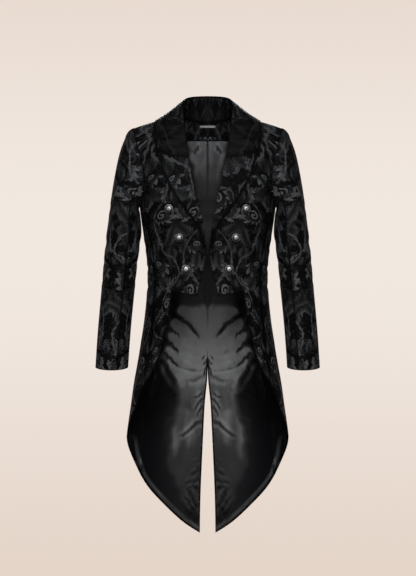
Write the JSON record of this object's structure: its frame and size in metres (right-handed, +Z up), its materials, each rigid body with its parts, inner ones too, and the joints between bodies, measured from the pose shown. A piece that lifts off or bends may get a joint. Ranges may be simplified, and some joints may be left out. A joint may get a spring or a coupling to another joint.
{
  "type": "tailcoat",
  "caption": "Fitted brocade tailcoat, filled out with no wearer: wide lapels and stand collar, domed buttons, cutaway front, long sleeves and pointed lined tails parted by a back vent.",
  "frame": {"origin": "between the shoulders, at the height of the neck points, where a wearer holds the coat up", "axes": "+Z up along the wearer's spine, -Y towards the front of the coat, +X towards the wearer's left"},
  "size_m": [0.606, 0.2728, 1.1899],
  "materials": {
    "brocade": "black ground with a grey satin figure",
    "satin": "black satin",
    "label": "plain woven strip",
    "pewter": "worn pewter, polished on the dome"
  },
  "bodies": {
    "root": {"front_left": "brocade", "front_right": "brocade", "side_left": "brocade", "side_right": "brocade", "back_left": "brocade", "back_right": "brocade", "sleeve_top_left": "brocade", "sleeve_top_right": "brocade", "sleeve_under_left": "brocade", "sleeve_under_right": "brocade", "lapel_left": "brocade", "lapel_right": "brocade", "collar": "brocade", "lining_back_left": "satin", "lining_back_right": "satin", "lining_side_left": "satin", "lining_side_right": "satin", "neck_facing": "brocade", "label": "label", "button_1": "pewter", "button_2": "pewter", "button_3": "pewter", "button_4": "pewter", "button_5": "pewter", "button_6": "pewter"}
  },
  "joints": []
}
